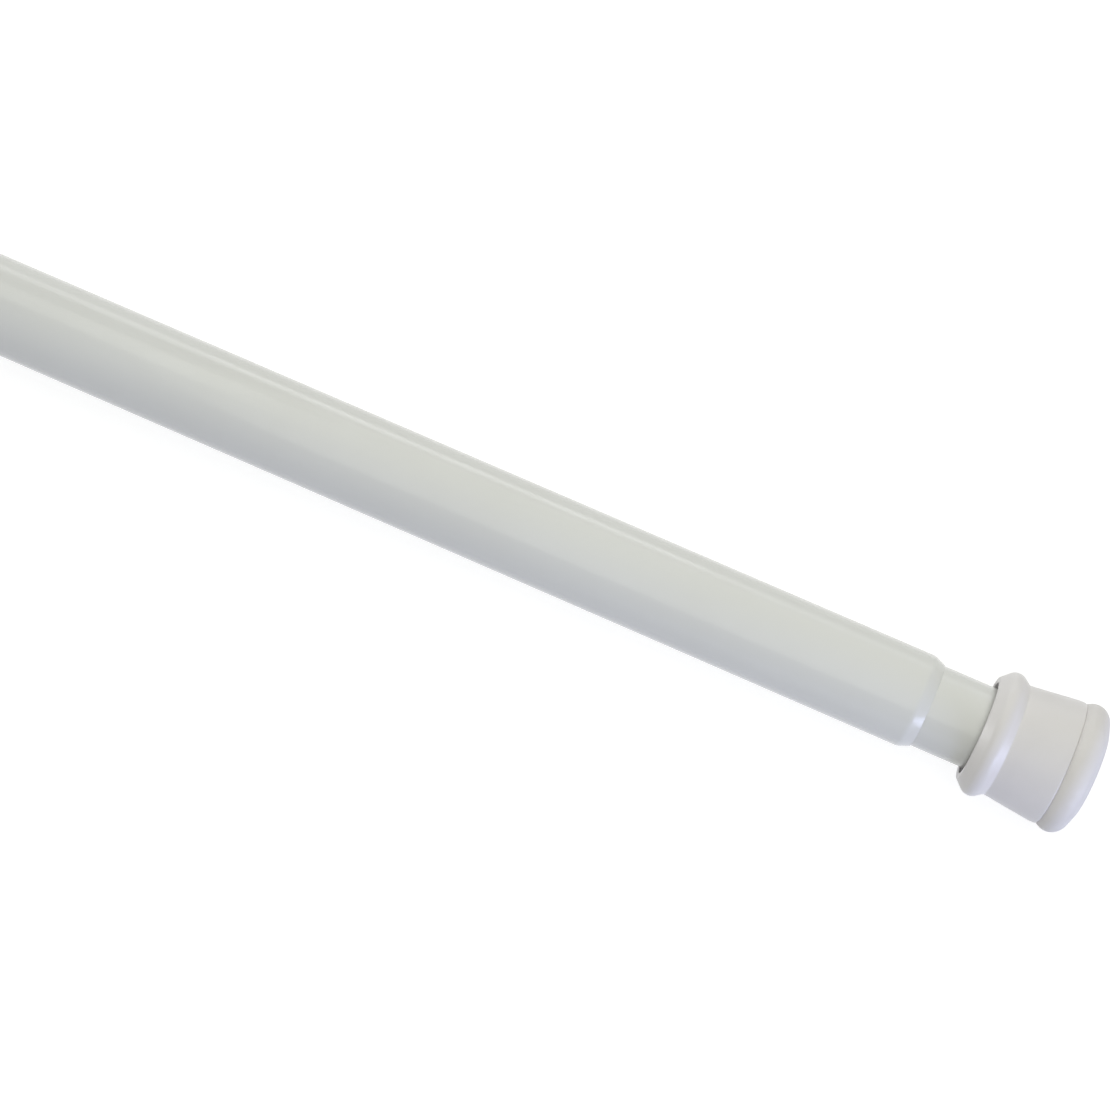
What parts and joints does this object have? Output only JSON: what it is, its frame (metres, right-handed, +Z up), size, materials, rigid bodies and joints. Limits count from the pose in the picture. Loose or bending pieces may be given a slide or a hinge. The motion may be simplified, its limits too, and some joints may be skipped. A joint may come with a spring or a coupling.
{
  "type": "spring tension rod",
  "caption": "White telescoping tension rod: a thinner tube slides in a necked outer tube, twist-locks inside, and a spring presses beaded end caps with soft feet against two walls.",
  "frame": {"origin": "middle of the fixed foot's wall face", "axes": "+X along the rod's axis towards the sliding end, +Z up with the rod level"},
  "size_m": [0.7, 0.0346, 0.0346],
  "materials": {
    "white_enamel": "gloss",
    "white_plastic": "satin",
    "white_rubber": "matte",
    "natural_nylon": "satin",
    "grey_nylon": "satin",
    "black_rubber": "matte",
    "zinc_steel": "bright zinc",
    "spring_steel": "drawn wire"
  },
  "bodies": {
    "outer": {"outer_tube": "white_enamel", "fixed_cap_shell": "white_plastic", "fixed_rubber_foot": "white_rubber"},
    "lock": {"expander_collet": "natural_nylon", "drag_ring": "black_rubber"},
    "cone": {"cone_nut": "grey_nylon"},
    "spindle": {"spindle": "zinc_steel", "cone_clip": "spring_steel", "thrust_washer": "zinc_steel", "spring_follower": "grey_nylon", "follower_clip": "spring_steel", "compression_spring": "spring_steel"},
    "inner": {"inner_tube": "white_enamel", "guide_bush": "natural_nylon", "spring_stop": "natural_nylon", "reducer_sleeve": "natural_nylon", "sliding_cap_shell": "white_plastic", "sliding_rubber_foot": "white_rubber"}
  },
  "joints": [
    {"name": "telescope", "type": "slide", "parent": "outer", "child": "lock", "axis": [1, 0, 0], "range_m": [0, 0.5]},
    {"name": "twist", "type": "hinge", "parent": "lock", "child": "spindle", "pos_m": [0.1, 0, 0], "axis": [-1, 0, 0], "range_deg": [0, 540]},
    {"name": "cone_draw", "type": "slide", "parent": "lock", "child": "cone", "axis": [1, 0, 0], "range_m": [0, 0.0045]},
    {"name": "spring_travel", "type": "slide", "parent": "spindle", "child": "inner", "axis": [1, 0, 0], "range_m": [-0.012, 0], "stiffness_N_per_m": 6400, "springref_m": 0.01, "deforming": ["compression_spring"]}
  ],
  "couplings": [
    {"joint": "cone_draw", "follows": "twist", "m_per_rad": 0.00047746}
  ]
}
